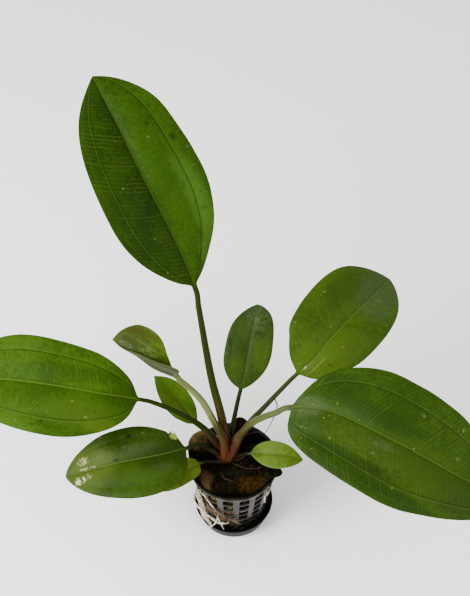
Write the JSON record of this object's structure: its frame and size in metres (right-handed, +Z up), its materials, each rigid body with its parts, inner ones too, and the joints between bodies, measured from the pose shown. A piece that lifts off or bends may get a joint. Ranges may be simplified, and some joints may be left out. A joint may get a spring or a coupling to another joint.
{
  "type": "potted echinodorus",
  "caption": "Broad-leaved aquatic plant in a slotted net pot filled with mineral wool, standing in a shallow round saucer.",
  "frame": {"origin": "centre of the saucer's flat underside", "axes": "+Z up; -Y towards the viewer of the picture; +X to the viewer's right"},
  "size_m": [0.309, 0.1854, 0.2153],
  "materials": {
    "saucer_plastic": "satin black",
    "black_plastic": "satin black, greyish sheen",
    "rockwool": "matte brown fibre",
    "crown": "reddish brown plant tissue",
    "leaf": "satin green leaf",
    "young_leaf": "satin light green leaf",
    "root": "cream white root",
    "strand": "dry brown fibre"
  },
  "bodies": {
    "root": {"saucer": "saucer_plastic", "net_pot": "black_plastic", "rockwool": "rockwool", "crown": "crown", "leaf_tall": "leaf", "leaf_left": "leaf", "leaf_right": "leaf", "leaf_round": "leaf", "leaf_oval": "leaf", "leaf_curled": "young_leaf", "leaf_low": "leaf", "leaf_small_back": "leaf", "leaf_small_left": "young_leaf", "leaf_small_right": "young_leaf", "root_upper_left": "root", "root_long": "root", "root_clump": "root", "root_spill": "root", "root_fork": "root", "root_front": "root", "root_right": "root", "dry_strand": "strand"}
  },
  "joints": []
}
